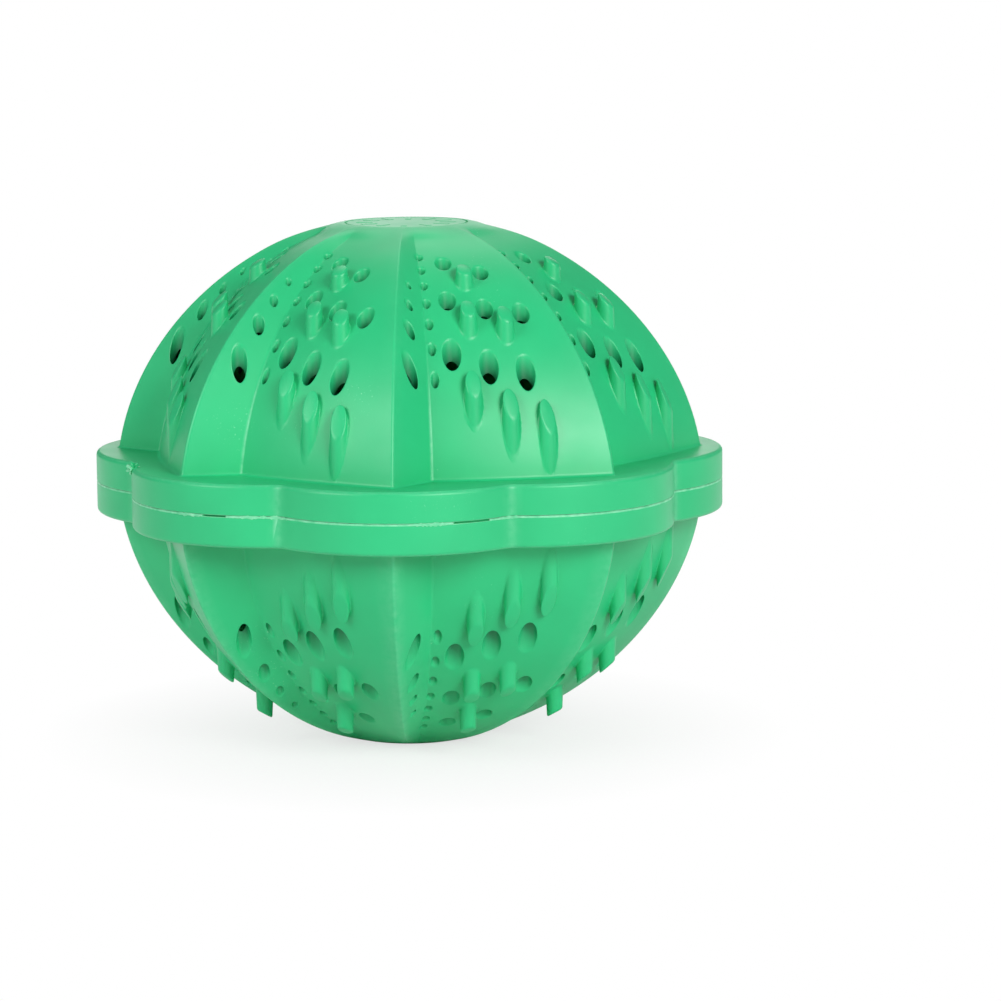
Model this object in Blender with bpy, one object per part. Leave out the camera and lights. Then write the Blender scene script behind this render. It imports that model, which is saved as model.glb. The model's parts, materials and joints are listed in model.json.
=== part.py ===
"""Laundry ball: two fluted, perforated half shells on lobed flanges, with loose ceramic beads inside.

The ball stands on its lower crown with its axis on Z and a ridge facing -Y. Both shells are drawn
along Z, so every hole and peg is upright. The lower shell is the mirror image of the upper one.
"""
import math

import bmesh
import bpy
import numpy as np
from mathutils import Matrix, Vector

MM = 0.001

# Fluted dome, each half measured from the parting plane
SECTORS = 8
RIDGE_RADIUS = 54.0 * MM
DOME_RISE = 49.0 * MM
PROFILE_POWER = 1.9
CROWN_DROP = 1.5 * MM
WALL = 2.2 * MM
VALLEY_TURN = math.radians(8.0)
VALLEY_DEPTH = 8.0 * MM
PANEL_BULGE = 1.1 * MM
FLUTE_START_RADIUS = 12.5 * MM
FLUTE_FULL_RADIUS = 20.0 * MM

# Rings of the wall, as shares of the ridge radius that pass between the rows of holes, and the place of
# the wide panel's middle column, as a share of the way from its valley
RING_SHARES = (0.333, 0.448, 0.642, 0.786, 0.904, 0.963)
MIDDLE_COLUMN = 0.58

# Crown disc, set in from the dome's flat top by a fine groove, with plain raised bars on the upper one
CROWN_RIM = 0.9 * MM
CROWN_GROOVE_WIDTH = 0.4 * MM
CROWN_GROOVE_DEPTH = 0.3 * MM
CROWN_BARS = 12
CROWN_BAR_LENGTH = 3.0 * MM
CROWN_BAR_WIDTH = 1.1 * MM
CROWN_BAR_HEIGHT = 0.4 * MM
CROWN_BAR_INSET = 3.5 * MM

# Lobed flange of each half: how far its lobes reach past the ridges, and how deep its creases cut in
FLANGE_REACH = 3.4 * MM
FLANGE_CREASE_DEPTH = 5.2 * MM
FLANGE_CREASE_FILLET = 2.5 * MM
FLANGE_THICKNESS = 5.6 * MM
FLANGE_EDGE = 0.6 * MM
LOBE_STEPS = 6
SEAM_GAP = 0.3 * MM

# Press pins of the lower flange, at every second valley, and the blind sockets that take them
PIN_EVERY = 2
PIN_RADIUS = 1.8 * MM
PIN_CLEARANCE = 0.25 * MM
SOCKET_FLOOR = 1.7 * MM
SOCKET_END_GAP = 0.5 * MM

# Pattern of the wide panel, on a grid that runs along the valley. Each row gives how far in from the
# ridge its first column and its further ones lie, and then the holes' diameter or the pegs' stand.
COLUMN_PITCH = 6.4 * MM
FIRST_HOLE_COLUMN = 4.4 * MM
FIRST_PEG_COLUMN = 7.7 * MM
HOLE_COLUMNS = (2, 3, 3)
HOLE_ROWS = (
    (30.5 * MM, 28.8 * MM, 2.8 * MM),
    (23.4 * MM, 22.3 * MM, 3.0 * MM),
    (16.3 * MM, 15.2 * MM, 3.3 * MM),
)
PEG_COLUMNS = (1, 2, 3)
PEG_ROWS = (
    (26.4 * MM, 26.4 * MM, 2.3 * MM),
    (19.5 * MM, 19.2 * MM, 3.0 * MM),
    (11.9 * MM, 10.9 * MM, 3.4 * MM),
)
PEG_FOOT_RADIUS = 1.55 * MM
PEG_TOP_RADIUS = 1.4 * MM
PEG_FACE_EASE = math.radians(9.0)

# Line of fine holes beside each valley, drifting onto the wide panel, and the shrinking holes down the
# narrow panel, each with how far in from the ridge it lies and its diameter
FINE_HOLES = 7
FINE_HOLE_DIAMETER = 1.4 * MM
FINE_HOLE_INSET = 32.05 * MM
FINE_HOLE_PITCH = 3.02 * MM
FINE_HOLE_ACROSS = 0.2 * MM
FINE_HOLE_DRIFT = 0.17 * MM
NARROW_HOLES = ((11.9 * MM, 2.7 * MM), (16.7 * MM, 2.0 * MM), (20.5 * MM, 1.4 * MM), (24.1 * MM, 1.0 * MM))
NARROW_HOLE_TURN = math.radians(3.5)

# Loose ceramic beads, heaped in the lower bowl; the gap is between their round envelopes
BEAD_COUNT = 28
BEAD_GAP = 0.1 * MM
HEAP_RADIUS = 28.0 * MM
BEAD_KINDS = (
    ("white_bead", 7.0 * MM, (0.80, 0.78, 0.72, 1.0)),
    ("tan_bead", 6.6 * MM, (0.56, 0.40, 0.24, 1.0)),
    ("grey_bead", 6.2 * MM, (0.22, 0.23, 0.23, 1.0)),
    ("brown_bead", 5.8 * MM, (0.30, 0.12, 0.07, 1.0)),
)

# Facets, shading and search steps
SMOOTH_ANGLE = math.radians(24.0)
MERGE_DISTANCE = 0.01 * MM
BORE_SIDES = (6, 5, 4)
BORE_SIDES_OVER = (2.5 * MM, 1.6 * MM, 0.0)
PEG_SIDES = 6
PIN_SIDES = 8
BEAD_SIDES = 8
BEAD_BANDS = 4
SEARCH_STEP = 0.5 * MM
SEARCH_TURN = math.radians(6.0)
BOWL_STEPS = 24

CROWN_HEIGHT = DOME_RISE - CROWN_DROP
SEAM_HEIGHT = CROWN_HEIGHT
FLANGE_RADIUS = RIDGE_RADIUS + FLANGE_REACH
FLANGE_CREASE_RADIUS = FLANGE_RADIUS - FLANGE_CREASE_DEPTH
PIN_HEIGHT = FLANGE_THICKNESS - SOCKET_FLOOR - SOCKET_END_GAP
SECTOR_ANGLE = 2 * math.pi / SECTORS
COLUMN_TURNS = (0.0, VALLEY_TURN, VALLEY_TURN + MIDDLE_COLUMN * (SECTOR_ANGLE - VALLEY_TURN))
FRONT = -math.pi / 2


def chord_radius(turn, start, start_radius, end, end_radius):
    """Radius, at a turn about the axis, of the straight line between two polar points."""
    top = start_radius * end_radius * math.sin(end - start)
    return top / (start_radius * math.sin(turn - start) + end_radius * math.sin(end - turn))


def flute_factor(turn, ridge, inset):
    """Section radius over ridge radius: a narrow panel down to the valley, a wide bulged one back up."""
    full = RIDGE_RADIUS - inset
    valley = full - VALLEY_DEPTH
    turn = turn % SECTOR_ANGLE
    if turn <= VALLEY_TURN:
        radius = chord_radius(turn, 0.0, full, VALLEY_TURN, valley)
    else:
        radius = chord_radius(turn, VALLEY_TURN, valley, SECTOR_ANGLE, full)
        along = (turn - VALLEY_TURN) / (SECTOR_ANGLE - VALLEY_TURN)
        radius += PANEL_BULGE * 4 * along * (1 - along)
    fade = (ridge - FLUTE_START_RADIUS) / (FLUTE_FULL_RADIUS - FLUTE_START_RADIUS)
    fade = min(max(fade, 0.0), 1.0)
    return 1 - (1 - radius / full) * fade * fade * (3 - 2 * fade)


def ridge_height(radius, inset=0.0):
    """Height of the ridge profile over the parting plane at a radius."""
    share = min(radius / (RIDGE_RADIUS - inset), 1.0)
    return (DOME_RISE - inset) * (1 - share ** PROFILE_POWER) ** (1 / PROFILE_POWER)


def wall_height(x, y, inset=0.0):
    """Height of the fluted wall over the parting plane at a plan point."""
    radius = math.hypot(x, y)
    turn = math.atan2(y, x) - FRONT
    return ridge_height(radius / flute_factor(turn, radius, inset), inset)


def wall_steepness(x, y):
    """Fall of the wall for each unit outwards, square to the valley's panel."""
    reach = Vector((x, y)).normalized() * PEG_FOOT_RADIUS
    inner = wall_height(x - reach.x, y - reach.y)
    outer = wall_height(x + reach.x, y + reach.y)
    return (inner - outer) / (2 * PEG_FOOT_RADIUS)


def ridge_radius(height, inset=0.0):
    """Radius of the ridge profile at a height over the parting plane."""
    share = min(height / (DOME_RISE - inset), 1.0)
    return (RIDGE_RADIUS - inset) * (1 - share ** PROFILE_POWER) ** (1 / PROFILE_POWER)


def crown_disc_radius():
    """Radius of the groove around the crown disc."""
    return ridge_radius(CROWN_HEIGHT) - CROWN_RIM


def ridge_profile(inset, base):
    """Points of the ridge from the crown's edge down to the base height."""
    top, bottom = ridge_radius(CROWN_HEIGHT - inset, inset), ridge_radius(base, inset)
    rings = [share * RIDGE_RADIUS for share in RING_SHARES]
    points = [Vector((top, 0, CROWN_HEIGHT - inset))]
    points += [Vector((ring, 0, ridge_height(ring, inset))) for ring in rings if top < ring < bottom]
    points.append(Vector((bottom, 0, base)))
    return points


def to_object(bm, name, collection, side=1):
    """Turn a bmesh into an object at the parting plane; side -1 mirrors it downwards."""
    if side < 0:
        bmesh.ops.scale(bm, vec=(1, 1, -1), verts=bm.verts)
        bmesh.ops.reverse_faces(bm, faces=bm.faces)
    mesh = bpy.data.meshes.new(name)
    bm.to_mesh(mesh)
    bm.free()
    obj = bpy.data.objects.new(name, mesh)
    obj.location = (0, 0, SEAM_HEIGHT)
    collection.objects.link(obj)
    return obj


def spin_solid(bm, profile):
    """Spin a profile that starts on the axis, close its base, and give each column its own turn."""
    verts = [bm.verts.new(point) for point in profile]
    edges = [bm.edges.new(pair) for pair in zip(verts, verts[1:])]
    steps = SECTORS * len(COLUMN_TURNS)
    bmesh.ops.spin(bm, geom=verts + edges, cent=(0, 0, 0), axis=(0, 0, 1), angle=2 * math.pi,
                   steps=steps, use_merge=True)
    bmesh.ops.remove_doubles(bm, verts=bm.verts, dist=MERGE_DISTANCE)
    rim = [edge for edge in bm.edges if edge.is_boundary]
    bmesh.ops.contextual_create(bm, geom=rim)
    bmesh.ops.recalc_face_normals(bm, faces=bm.faces)
    return 2 * math.pi / steps


def dome_solid(inset, base, groove=False):
    """Closed fluted dome from the base height up to its flat crown."""
    edge = ridge_profile(inset, base)
    crown = CROWN_HEIGHT - inset
    profile = [Vector((0, 0, crown))]
    if groove:
        disc, half = crown_disc_radius(), CROWN_GROOVE_WIDTH / 2
        profile += [Vector((disc - half, 0, crown)),
                    Vector((disc, 0, crown - CROWN_GROOVE_DEPTH)),
                    Vector((disc + half, 0, crown))]
    bm = bmesh.new()
    step = spin_solid(bm, profile + edge)
    for vert in bm.verts:
        radius = math.hypot(vert.co.x, vert.co.y)
        if radius > MERGE_DISTANCE:
            column = round(math.atan2(vert.co.y, vert.co.x) / step) % (SECTORS * len(COLUMN_TURNS))
            sector, within = divmod(column, len(COLUMN_TURNS))
            turn = COLUMN_TURNS[within]
            section = radius * flute_factor(turn, radius, inset)
            angle = FRONT + sector * SECTOR_ANGLE + turn
            vert.co.x, vert.co.y = section * math.cos(angle), section * math.sin(angle)
    return bm


def cavity_solid():
    """Hollow of one half: the wall's inner face, carried on past the parting plane."""
    base = FLANGE_THICKNESS / 2
    bm = dome_solid(WALL, base)
    floor = [face for face in bm.faces if max(vert.co.z for vert in face.verts) < base + MERGE_DISTANCE]
    moved = bmesh.ops.extrude_face_region(bm, geom=floor)
    verts = [item for item in moved["geom"] if isinstance(item, bmesh.types.BMVert)]
    bmesh.ops.translate(bm, vec=(0, 0, -FLANGE_THICKNESS), verts=verts)
    bmesh.ops.delete(bm, geom=floor, context="FACES_ONLY")
    return bm


def lobe_radius(turn):
    """Outline of the flange: convex arcs centred on the ridges, joined by hollow fillets."""
    half = SECTOR_ANGLE / 2
    crease_x = FLANGE_CREASE_RADIUS * math.cos(half)
    centre = (FLANGE_RADIUS ** 2 - FLANGE_CREASE_RADIUS ** 2) / (2 * (FLANGE_RADIUS - crease_x))
    arc = FLANGE_RADIUS - centre
    reach = arc + FLANGE_CREASE_FILLET
    fillet = centre * math.cos(half) + math.sqrt(reach ** 2 - (centre * math.sin(half)) ** 2)
    touch = Vector((centre, 0)).lerp(Vector((fillet * math.cos(half), fillet * math.sin(half))), arc / reach)
    turn = abs((turn + half) % SECTOR_ANGLE - half)
    if turn < math.atan2(touch.y, touch.x):
        return centre * math.cos(turn) + math.sqrt(arc ** 2 - (centre * math.sin(turn)) ** 2)
    away = half - turn
    return fillet * math.cos(away) - math.sqrt(FLANGE_CREASE_FILLET ** 2 - (fillet * math.sin(away)) ** 2)


def flange_slab():
    """Lobed slab of one half, from the seam gap up, with its outer rim rounded."""
    bm = bmesh.new()
    bmesh.ops.create_circle(bm, cap_ends=True, segments=SECTORS * LOBE_STEPS, radius=FLANGE_RADIUS)
    for vert in bm.verts:
        angle = math.atan2(vert.co.y, vert.co.x)
        radius = lobe_radius(angle - FRONT)
        vert.co = (radius * math.cos(angle), radius * math.sin(angle), SEAM_GAP / 2)
    moved = bmesh.ops.extrude_face_region(bm, geom=bm.faces[:])
    top = [item for item in moved["geom"] if isinstance(item, bmesh.types.BMVert)]
    bmesh.ops.translate(bm, vec=(0, 0, FLANGE_THICKNESS - SEAM_GAP / 2), verts=top)
    bmesh.ops.recalc_face_normals(bm, faces=bm.faces)
    rim = [edge for edge in bm.edges if all(vert in top for vert in edge.verts)]
    bmesh.ops.bevel(bm, geom=rim, offset=FLANGE_EDGE, segments=1, affect="EDGES", profile=0.5, material=-1)
    return bm


def panel_point(sector, along, across):
    """Plan point at a distance along a sector's valley and across it, onto the wide panel."""
    angle = FRONT + sector * SECTOR_ANGLE + VALLEY_TURN
    return Matrix.Rotation(angle, 2) @ Vector((along, across))


def bore_places(sector):
    """Plan point and diameter of each hole in one sector."""
    places = []
    for columns, (first, further, diameter) in zip(HOLE_COLUMNS, HOLE_ROWS):
        for column in range(columns):
            along = RIDGE_RADIUS - (first if column == 0 else further)
            places.append((panel_point(sector, along, FIRST_HOLE_COLUMN + column * COLUMN_PITCH), diameter))
    for index in range(FINE_HOLES):
        along = RIDGE_RADIUS - FINE_HOLE_INSET + index * FINE_HOLE_PITCH
        across = FINE_HOLE_ACROSS + index * FINE_HOLE_DRIFT
        places.append((panel_point(sector, along, across), FINE_HOLE_DIAMETER))
    angle = FRONT + sector * SECTOR_ANGLE + NARROW_HOLE_TURN
    for inset, diameter in NARROW_HOLES:
        outward = Vector((math.cos(angle), math.sin(angle)))
        places.append((outward * (RIDGE_RADIUS - inset), diameter))
    return places


def bore_sides(diameter):
    """Facets of a round hole: fewer on the finest ones."""
    return next(sides for least, sides in zip(BORE_SIDES_OVER, BORE_SIDES) if diameter > least)


def bore_cutters():
    """Upright prisms through the wall, one for each hole."""
    bm = bmesh.new()
    for sector in range(SECTORS):
        for place, diameter in bore_places(sector):
            outward = place.normalized() * diameter / 2
            far, near = place + outward, place - outward
            low = wall_height(far.x, far.y, WALL) - WALL
            low = max(low, FLANGE_THICKNESS + WALL / 2)
            high = wall_height(near.x, near.y) + WALL
            centre = Matrix.Translation((place.x, place.y, (low + high) / 2))
            turn = Matrix.Rotation(math.atan2(place.y, place.x), 4, "Z")
            bmesh.ops.create_cone(bm, cap_ends=True, segments=bore_sides(diameter), radius1=diameter / 2,
                                  radius2=diameter / 2, depth=high - low, matrix=centre @ turn)
    return bm


def peg_places(sector):
    """Plan point and stand of each peg in one sector."""
    places = []
    for columns, (first, further, stand) in zip(PEG_COLUMNS, PEG_ROWS):
        for column in range(columns):
            along = RIDGE_RADIUS - (first if column == 0 else further)
            places.append((panel_point(sector, along, FIRST_PEG_COLUMN + column * COLUMN_PITCH), stand))
    return places


def peg_solids():
    """Upright tapered pegs rooted in the wall, each cut off aslant, a little flatter than the wall."""
    bm = bmesh.new()
    for sector in range(SECTORS):
        for place, stand in peg_places(sector):
            steep = wall_steepness(place.x, place.y)
            lean = math.tan(math.atan(steep) - PEG_FACE_EASE)
            root = WALL / 2 * math.hypot(1, steep)
            outward = place.normalized()
            middle = wall_height(place.x, place.y) + stand
            turn = Matrix.Translation((place.x, place.y, 0)) @ Matrix.Rotation(
                math.atan2(place.y, place.x), 4, "Z")
            made = bmesh.ops.create_cone(bm, cap_ends=True, segments=PEG_SIDES, radius1=PEG_FOOT_RADIUS,
                                         radius2=PEG_TOP_RADIUS, depth=MM, matrix=turn)
            for vert in made["verts"]:
                if vert.co.z > 0:
                    beyond = (vert.co.xy - place).dot(outward)
                    vert.co.z = middle - lean * beyond
                else:
                    vert.co.z = wall_height(vert.co.x, vert.co.y) - root
    return bm


def crown_bars():
    """Ring of plain raised bars on the crown disc."""
    bm = bmesh.new()
    size = Matrix.Diagonal((CROWN_BAR_LENGTH, CROWN_BAR_WIDTH, 2 * CROWN_BAR_HEIGHT, 1))
    middle = Matrix.Translation((crown_disc_radius() - CROWN_BAR_INSET, 0, CROWN_HEIGHT))
    for index in range(CROWN_BARS):
        turn = Matrix.Rotation(2 * math.pi * index / CROWN_BARS, 4, "Z")
        bmesh.ops.create_cube(bm, size=1, matrix=turn @ middle @ size)
    return bm


def flange_pins(radius, low, high):
    """Round pins, or the sockets' hollows, at the valleys, midway between the hollow and the flange's rim."""
    bm = bmesh.new()
    circle = (RIDGE_RADIUS - WALL - VALLEY_DEPTH + lobe_radius(VALLEY_TURN)) / 2
    for sector in range(0, SECTORS, PIN_EVERY):
        angle = FRONT + sector * SECTOR_ANGLE + VALLEY_TURN
        place = Matrix.Rotation(angle, 4, "Z") @ Matrix.Translation((circle, 0, (low + high) / 2))
        bmesh.ops.create_cone(bm, cap_ends=True, segments=PIN_SIDES, radius1=radius, radius2=radius,
                              depth=high - low, matrix=place)
    return bm


def apply_tool(target, tool, operation):
    """Boolean a tool object into or out of a target."""
    modifier = target.modifiers.new(tool.name, "BOOLEAN")
    modifier.operation = operation
    modifier.solver = "EXACT"
    modifier.object = tool
    tool.hide_render = True
    tool.display_type = "WIRE"


def settle(obj):
    """Turn an object's modifiers into its own mesh and shade its gentle edges smooth."""
    mesh = bpy.data.meshes.new_from_object(obj.evaluated_get(bpy.context.evaluated_depsgraph_get()))
    obj.modifiers.clear()
    obj.data = mesh
    mesh.shade_smooth()
    mesh.set_sharp_from_angle(angle=SMOOTH_ANGLE)


def plastic(name, colour, roughness):
    """Principled material of one part."""
    material = bpy.data.materials.new(name)
    material.use_nodes = True
    shader = material.node_tree.nodes["Principled BSDF"]
    shader.inputs["Base Color"].default_value = colour
    shader.inputs["Roughness"].default_value = roughness
    shader.inputs["Metallic"].default_value = 0.0
    return material


def make_shell(name, side, parts, tools):
    """One half shell: lobed flange, hollow fluted dome, holes and pegs."""
    shell = to_object(flange_slab(), name, parts, side)
    steps = (
        ("dome", dome_solid(0.0, FLANGE_THICKNESS / 2, groove=True), "UNION"),
        ("hollow", cavity_solid(), "DIFFERENCE"),
        ("pegs", peg_solids(), "UNION"),
        ("bores", bore_cutters(), "DIFFERENCE"),
    )
    for label, bm, operation in steps:
        apply_tool(shell, to_object(bm, f"{name}_{label}", tools, side), operation)
    shell.data.materials.append(plastic(f"{name}_plastic", (0.042, 0.552, 0.216, 1.0), 0.38))
    return shell


def add_pins_and_sockets(lower, upper, tools):
    """Pins that rise from the lower flange into blind sockets of the upper one."""
    rooted = -FLANGE_THICKNESS / 2
    pins = to_object(flange_pins(PIN_RADIUS, rooted, PIN_HEIGHT), "flange_pins", tools)
    apply_tool(lower, pins, "UNION")
    sockets = flange_pins(PIN_RADIUS + PIN_CLEARANCE, rooted, PIN_HEIGHT + SOCKET_END_GAP)
    apply_tool(upper, to_object(sockets, "flange_sockets", tools), "DIFFERENCE")


def bowl_outline():
    """Radius and height of points along the lower hollow's valleys, where it is narrowest."""
    corners = [Vector((0, 0, CROWN_HEIGHT - WALL))] + ridge_profile(WALL, FLANGE_THICKNESS / 2)
    points = []
    for start, end in zip(corners, corners[1:]):
        start_radius = start.x * flute_factor(VALLEY_TURN, start.x, WALL)
        end_radius = end.x * flute_factor(VALLEY_TURN, end.x, WALL)
        for share in np.linspace(0, 1, BOWL_STEPS):
            points.append((start_radius + (end_radius - start_radius) * share,
                           -(start.z + (end.z - start.z) * share)))
    return np.array(points)


def settle_beads():
    """Lay the beads one by one, each at the lowest free place of the bowl, as centres and kinds."""
    bowl = bowl_outline()
    rings, turns = np.meshgrid(np.arange(0, HEAP_RADIUS, SEARCH_STEP), np.arange(0, 2 * math.pi, SEARCH_TURN))
    x, y, spread = (rings * np.cos(turns)).ravel(), (rings * np.sin(turns)).ravel(), rings.ravel()
    laid = []
    for index in range(BEAD_COUNT):
        kind = BEAD_KINDS[index % len(BEAD_KINDS)]
        radius = kind[1] / 2
        lift = (radius + BEAD_GAP) ** 2 - (spread[:, None] - bowl[None, :, 0]) ** 2
        height = np.max(np.where(lift > 0, bowl[None, :, 1] + np.sqrt(np.maximum(lift, 0)), -1), axis=1)
        for centre, other in laid:
            lift = (radius + other + BEAD_GAP) ** 2 - (x - centre.x) ** 2 - (y - centre.y) ** 2
            height = np.where(lift > 0, np.maximum(height, centre.z + np.sqrt(np.maximum(lift, 0))), height)
        lowest = int(np.argmin(height))
        laid.append((Vector((x[lowest], y[lowest], height[lowest])), radius))
    return [centre for centre, radius in laid]


def make_beads(parts):
    """Loose beads in four kinds, heaped in the lower shell under one empty on the ball's axis."""
    fill = bpy.data.objects.new("bead_fill", None)
    fill.location = (0, 0, SEAM_HEIGHT)
    parts.objects.link(fill)
    looks = {name: plastic(f"{name}_ceramic", colour, 0.55) for name, diameter, colour in BEAD_KINDS}
    for index, centre in enumerate(settle_beads()):
        kind, diameter, colour = BEAD_KINDS[index % len(BEAD_KINDS)]
        bm = bmesh.new()
        bmesh.ops.create_uvsphere(bm, u_segments=BEAD_SIDES, v_segments=BEAD_BANDS, radius=diameter / 2)
        mesh = bpy.data.meshes.new(f"{kind}_{index + 1:02d}")
        bm.to_mesh(mesh)
        bm.free()
        mesh.shade_smooth()
        mesh.materials.append(looks[kind])
        bead = bpy.data.objects.new(mesh.name, mesh)
        bead.parent = fill
        bead.location = centre
        parts.objects.link(bead)


def build():
    for obj in list(bpy.data.objects):
        bpy.data.objects.remove(obj, do_unlink=True)
    parts = bpy.data.collections.new("laundry_ball")
    tools = bpy.data.collections.new("construction")
    bpy.context.scene.collection.children.link(parts)
    bpy.context.scene.collection.children.link(tools)
    lower = make_shell("lower_shell", -1, parts, tools)
    upper = make_shell("upper_shell", 1, parts, tools)
    apply_tool(upper, to_object(crown_bars(), "crown_bars", tools), "UNION")
    add_pins_and_sockets(lower, upper, tools)
    settle(lower)
    settle(upper)
    make_beads(parts)


build()
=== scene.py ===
"""Laundry ball: the looks of a fluted, perforated washing ball with ceramic beads inside.

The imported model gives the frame. Each operator makes one piece, or one group of like pieces, at its
real size in metres, with the ball standing on its lower crown and its axis on Z.
"""
import json
import math

import bmesh
import bpy
from bpy.props import FloatProperty, FloatVectorProperty, IntProperty, PointerProperty
from mathutils import Matrix, Vector, noise
from mathutils.kdtree import KDTree


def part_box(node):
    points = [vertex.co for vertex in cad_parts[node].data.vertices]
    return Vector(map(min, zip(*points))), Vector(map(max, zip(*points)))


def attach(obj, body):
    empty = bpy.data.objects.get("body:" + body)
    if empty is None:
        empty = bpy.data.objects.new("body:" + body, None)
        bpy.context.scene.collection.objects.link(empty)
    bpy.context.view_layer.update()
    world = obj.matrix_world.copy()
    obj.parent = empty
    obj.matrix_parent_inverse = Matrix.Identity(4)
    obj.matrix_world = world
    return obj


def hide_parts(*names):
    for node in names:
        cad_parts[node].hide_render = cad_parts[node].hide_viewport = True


bl_info = {
    "name": "Laundry Ball",
    "version": (1, 0, 0),
    "blender": (4, 5, 0),
    "location": "View3D > Sidebar > Laundry Ball",
    "description": "Builds a moulded laundry ball and its ceramic beads around a packed frame",
    "category": "Add Mesh",
}

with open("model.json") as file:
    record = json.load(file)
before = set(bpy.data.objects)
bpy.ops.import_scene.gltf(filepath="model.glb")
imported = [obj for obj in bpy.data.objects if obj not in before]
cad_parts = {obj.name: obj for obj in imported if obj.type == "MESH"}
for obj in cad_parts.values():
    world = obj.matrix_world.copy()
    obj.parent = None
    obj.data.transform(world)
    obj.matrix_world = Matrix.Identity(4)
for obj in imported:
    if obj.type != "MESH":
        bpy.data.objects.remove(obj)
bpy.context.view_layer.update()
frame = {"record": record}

MM = 0.001
LOWER_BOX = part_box("lower_shell")
UPPER_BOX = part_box("upper_shell")

# Fluted dome of one half, measured from the parting plane
SEAM_GAP = 0.3 * MM
SEAM_HEIGHT = UPPER_BOX[0].z - SEAM_GAP / 2
SECTORS = 8
SECTOR_ANGLE = 2 * math.pi / SECTORS
FRONT = -math.pi / 2
RIDGE_RADIUS = 54.0 * MM
DOME_RISE = 49.0 * MM
PROFILE_POWER = 1.9
CROWN_HEIGHT = SEAM_HEIGHT - LOWER_BOX[0].z
WALL = 2.2 * MM
VALLEY_TURN = math.radians(8.0)
VALLEY_DEPTH = 8.0 * MM
PANEL_BULGE = 1.1 * MM
FLUTE_START_RADIUS = 12.5 * MM
FLUTE_FULL_RADIUS = 20.0 * MM
EDGE_TURN = math.radians(0.45)
EDGE_SAMPLES = ((-1.0, 1), (-0.5, 2), (0.0, 2), (0.5, 2), (1.0, 1))
NARROW_COLUMNS = 4
VALLEY_COLUMNS = 4
WIDE_COLUMNS = 10
OUTER_RINGS = 40
INNER_RINGS = 24

# Crown disc, its groove and the plain raised bars on the upper one
CROWN_RIM = 0.9 * MM
CROWN_GROOVE_WIDTH = 0.4 * MM
CROWN_GROOVE_DEPTH = 0.3 * MM
CROWN_GROOVE_SHOULDER = 0.85
CROWN_GROOVE_SIDES = 96
CROWN_BARS = 12
CROWN_BAR_SIZE = Vector((3.0, 1.1, 0.08)) * MM
CROWN_BAR_INSET = 3.5 * MM
CROWN_BAR_ROUND = 0.07 * MM
CROWN_BAR_ROUND_STEPS = 2
UPPER_CROWN_SETTLE = 0.7 * MM
SETTLE_START_RADIUS = 10.0 * MM
SETTLE_END_RADIUS = 25.0 * MM

# Lobed flange of each half
FLANGE_RADIUS = UPPER_BOX[1].x
FLANGE_CREASE_RADIUS = FLANGE_RADIUS - 5.2 * MM
FLANGE_CREASE_FILLET = 2.5 * MM
FLANGE_THICKNESS = 5.6 * MM
FLANGE_ROUND = 0.8 * MM
FLANGE_ROUND_STEPS = 4
SEAM_ROUND = 0.12 * MM
SEAM_ROUND_STEPS = 2
FLANGE_FILLET = 0.7 * MM
FILLET_RINGS = (0.55, 0.25, 0.07, 0.0)
LOBE_STEPS = 40

# Moulding flash that fills the seam, with two short gaps and, in some stretches, rough burrs that stand a
# little out of the flange. Turns are from the front ridge, a wave is the scale of an unevenness, and an ease
# is a share of the flash setting.
FLASH_TOP = 0.12 * MM
FLASH_FOOT = -0.20 * MM
FLASH_WIDTH = 1.0 * MM
FLASH_ROOT_INSET = 1.5 * MM
FLASH_SIDES = 1080
FLASH_NECK_STEP = 0.05 * MM
FLASH_LEAST_EASE = 0.1
FLASH_EASE_WAVE = 90
FLASH_TOP_EASE = 0.5
FLASH_TOP_WAVE = 120
FLASH_GAPS = ((math.radians(-36.0), math.radians(-31.8)), (math.radians(10.8), math.radians(17.6)))
FLASH_GAP_DEPTH = 0.6 * MM
BURR_STRETCHES = (
    (math.radians(-42.0), math.radians(-36.0)),
    (math.radians(-31.8), math.radians(-19.0)),
    (math.radians(3.0), math.radians(10.8)),
    (math.radians(19.0), math.radians(25.0)),
)
BURR_PROUD = 0.02 * MM
BURR_HEIGHT = 0.6 * MM
BURR_WAVE = 150
BURR_WAVE_SHIFT = 7

# Lump of plastic left on the upper flange's rim
LUMP_TURN = FRONT - math.radians(61.4)
LUMP_RADIUS = 1.0 * MM
LUMP_SUNK = LUMP_RADIUS / 3
LUMP_DETAIL = 4
LUMP_ROUGHNESS = 0.9
LUMP_WAVE = 2.5

# Pale line at the seam, and painted highlights at the flange's creases and rim and along ridges and valleys:
# reach and strength
SEAM_PALE_REACH = 0.4 * MM
SEAM_PALENESS = 0.8
FLASH_PALENESS = 0.9
CREASE_PALE_REACH = 1.4 * MM
CREASE_PAINTED_HIGHLIGHT = 0.22
RIM_PALE_REACH = 0.6 * FLANGE_ROUND
RIM_PAINTED_HIGHLIGHT = 0.2
RIDGE_PALE_REACH = 0.8 * MM
UPPER_RIDGE_PAINTED_HIGHLIGHT = 0.06
LOWER_RIDGE_PAINTED_HIGHLIGHT = 0.28
VALLEY_PALE_REACH = 0.3 * MM
VALLEY_PALE_START = 14 * MM
VALLEY_PALE_END = 24 * MM
VALLEY_PAINTED_HIGHLIGHT = 0.6

# Press pins and their blind sockets
PIN_EVERY = 2
PIN_RADIUS = 1.8 * MM
PIN_HEIGHT = 3.4 * MM
PIN_EASE = 0.4 * MM
PIN_EASE_BEND = 0.3
PIN_SIDES = 32
PIN_CLEARANCE = 0.25 * MM
SOCKET_END_GAP = 0.5 * MM

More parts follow.
